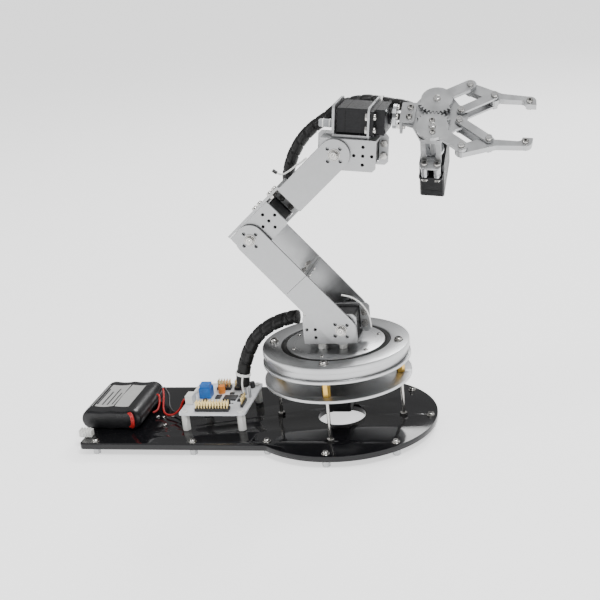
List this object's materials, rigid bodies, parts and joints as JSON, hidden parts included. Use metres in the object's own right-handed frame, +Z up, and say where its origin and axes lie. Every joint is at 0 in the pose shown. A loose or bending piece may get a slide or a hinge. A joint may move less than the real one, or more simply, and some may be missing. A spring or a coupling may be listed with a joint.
{
  "type": "desktop robot arm",
  "caption": "Desktop servo robot arm: acrylic base plate with battery and control board, bearing turntable, bracket arm links, rotating wrist and geared parallel-jaw claw.",
  "frame": {"origin": "centre of the bounding box's bottom, on the surface the feet stand on", "axes": "+X from the battery tail of the base plate towards the claw, +Y across the arm towards the servo-horn side, +Z up"},
  "size_m": [0.3992, 0.165, 0.287],
  "materials": {
    "aluminium": "satin, brushed sheet",
    "battery_wrap": "heat-shrink film",
    "black_acrylic": "polished",
    "black_plastic": "fine texture",
    "black_sleeve": "spiral wrapped",
    "black_wire": "silicone insulation",
    "blue_plastic": "moulded",
    "board": "solder resist",
    "header": "moulded",
    "red_wire": "silicone insulation",
    "steel": "bright plated",
    "turned_aluminium": "turned",
    "white_nylon": "moulded"
  },
  "bodies": {
    "base": {"balance_connector": "white_nylon", "base_loom": "black_sleeve", "base_plate": "black_acrylic", "base_servo": "black_plastic", "battery_lead_black": "black_wire", "battery_lead_red": "red_wire", "battery_pack": "battery_wrap", "bearing_cage": "black_plastic", "bearing_ring": "turned_aluminium", "board": "board", "column_post_front": "steel", "column_post_left": "steel", "column_post_rear": "steel", "column_post_right": "steel", "lower_disc": "aluminium", "pin_header_end": "header", "pin_header_left": "header", "pin_header_near": "header", "pin_header_right": "header", "power_socket": "white_nylon", "terminal_block": "blue_plastic", "upper_disc": "aluminium"},
    "turntable": {"base_horn": "turned_aluminium", "bracket_spacer_1": "white_nylon", "bracket_spacer_2": "white_nylon", "bracket_spacer_3": "white_nylon", "bracket_spacer_4": "white_nylon", "rotor": "turned_aluminium", "shoulder_bracket": "aluminium", "shoulder_loom": "black_sleeve", "shoulder_servo": "black_plastic"},
    "lower_arm": {"elbow_bearing": "steel", "elbow_horn": "turned_aluminium", "lower_arm_u_elbow": "aluminium", "lower_arm_u_shoulder": "aluminium", "shoulder_bearing": "steel", "shoulder_horn": "turned_aluminium"},
    "forearm": {"elbow_angle": "aluminium", "elbow_bracket": "aluminium", "elbow_servo": "black_plastic", "forearm_u": "aluminium", "wrist_bearing": "steel", "wrist_horn": "turned_aluminium", "wrist_loom": "black_sleeve"},
    "wrist": {"claw_loom": "black_sleeve", "pitch_bracket": "aluminium", "pitch_servo": "black_plastic", "roll_bracket": "aluminium", "roll_servo": "black_plastic"},
    "claw": {"claw_base": "aluminium", "claw_hub": "aluminium", "claw_servo": "black_plastic", "roll_horn": "turned_aluminium"},
    "upper_crank_body": {"upper_crank": "aluminium"},
    "lower_crank_body": {"drive_horn": "turned_aluminium", "lower_crank": "aluminium"},
    "upper_link": {"upper_links": "aluminium"},
    "lower_link": {"lower_links": "aluminium"},
    "upper_jaw_body": {"upper_jaw": "aluminium"},
    "lower_jaw_body": {"lower_jaw": "aluminium"}
  },
  "joints": [
    {"name": "base_yaw", "type": "hinge", "parent": "base", "child": "turntable", "pos_m": [0.02737, 0, 0.0795], "axis": [0, 0, 1], "range_deg": [-90, 90]},
    {"name": "shoulder_pitch", "type": "hinge", "parent": "turntable", "child": "lower_arm", "pos_m": [0.03867, 0, 0.0988], "axis": [0, -1, 0], "range_deg": [-45, 20]},
    {"name": "elbow_pitch", "type": "hinge", "parent": "lower_arm", "child": "forearm", "pos_m": [-0.03022, 0, 0.17805], "axis": [0, -1, 0], "range_deg": [-20, 70]},
    {"name": "wrist_pitch", "type": "hinge", "parent": "forearm", "child": "wrist", "pos_m": [0.04494, 0, 0.24477], "axis": [0, -1, 0], "range_deg": [-20, 70], "deforming": ["wrist_loom"]},
    {"name": "wrist_roll", "type": "hinge", "parent": "wrist", "child": "claw", "pos_m": [0.04784, 0.013, 0.2699], "axis": [0.9934, 0, -0.1149], "range_deg": [-90, 90], "deforming": ["claw_loom"]},
    {"name": "lower_crank_swing", "type": "hinge", "parent": "claw", "child": "lower_crank_body", "pos_m": [0.1198, -0.00158, 0.25575], "axis": [-0.0943, 0.5721, -0.8147], "range_deg": [-34, 28]},
    {"name": "upper_crank_swing", "type": "hinge", "parent": "claw", "child": "upper_crank_body", "pos_m": [0.1218, 0.02346, 0.27311], "axis": [0.0943, -0.5721, 0.8147], "range_deg": [-34, 28]},
    {"name": "lower_link_swing", "type": "hinge", "parent": "claw", "child": "lower_link", "pos_m": [0.14051, 0.00649, 0.25903], "axis": [-0.0943, 0.5721, -0.8147], "range_deg": [-34, 28]},
    {"name": "upper_link_swing", "type": "hinge", "parent": "claw", "child": "upper_link", "pos_m": [0.14122, 0.01539, 0.26519], "axis": [0.0943, -0.5721, 0.8147], "range_deg": [-34, 28]},
    {"name": "lower_jaw_swing", "type": "hinge", "parent": "lower_crank_body", "child": "lower_jaw_body", "pos_m": [0.14299, -0.01643, 0.24264], "axis": [-0.0943, 0.5721, -0.8147], "range_deg": [-28, 34]},
    {"name": "upper_jaw_swing", "type": "hinge", "parent": "upper_crank_body", "child": "upper_jaw_body", "pos_m": [0.14738, 0.03831, 0.28058], "axis": [0.0943, -0.5721, 0.8147], "range_deg": [-28, 34]}
  ],
  "couplings": [
    {"joint": "upper_crank_swing", "follows": "lower_crank_swing", "ratio": 1},
    {"joint": "lower_link_swing", "follows": "lower_crank_swing", "ratio": 1},
    {"joint": "upper_link_swing", "follows": "lower_crank_swing", "ratio": 1},
    {"joint": "lower_jaw_swing", "follows": "lower_crank_swing", "ratio": -1},
    {"joint": "upper_jaw_swing", "follows": "lower_crank_swing", "ratio": -1}
  ]
}
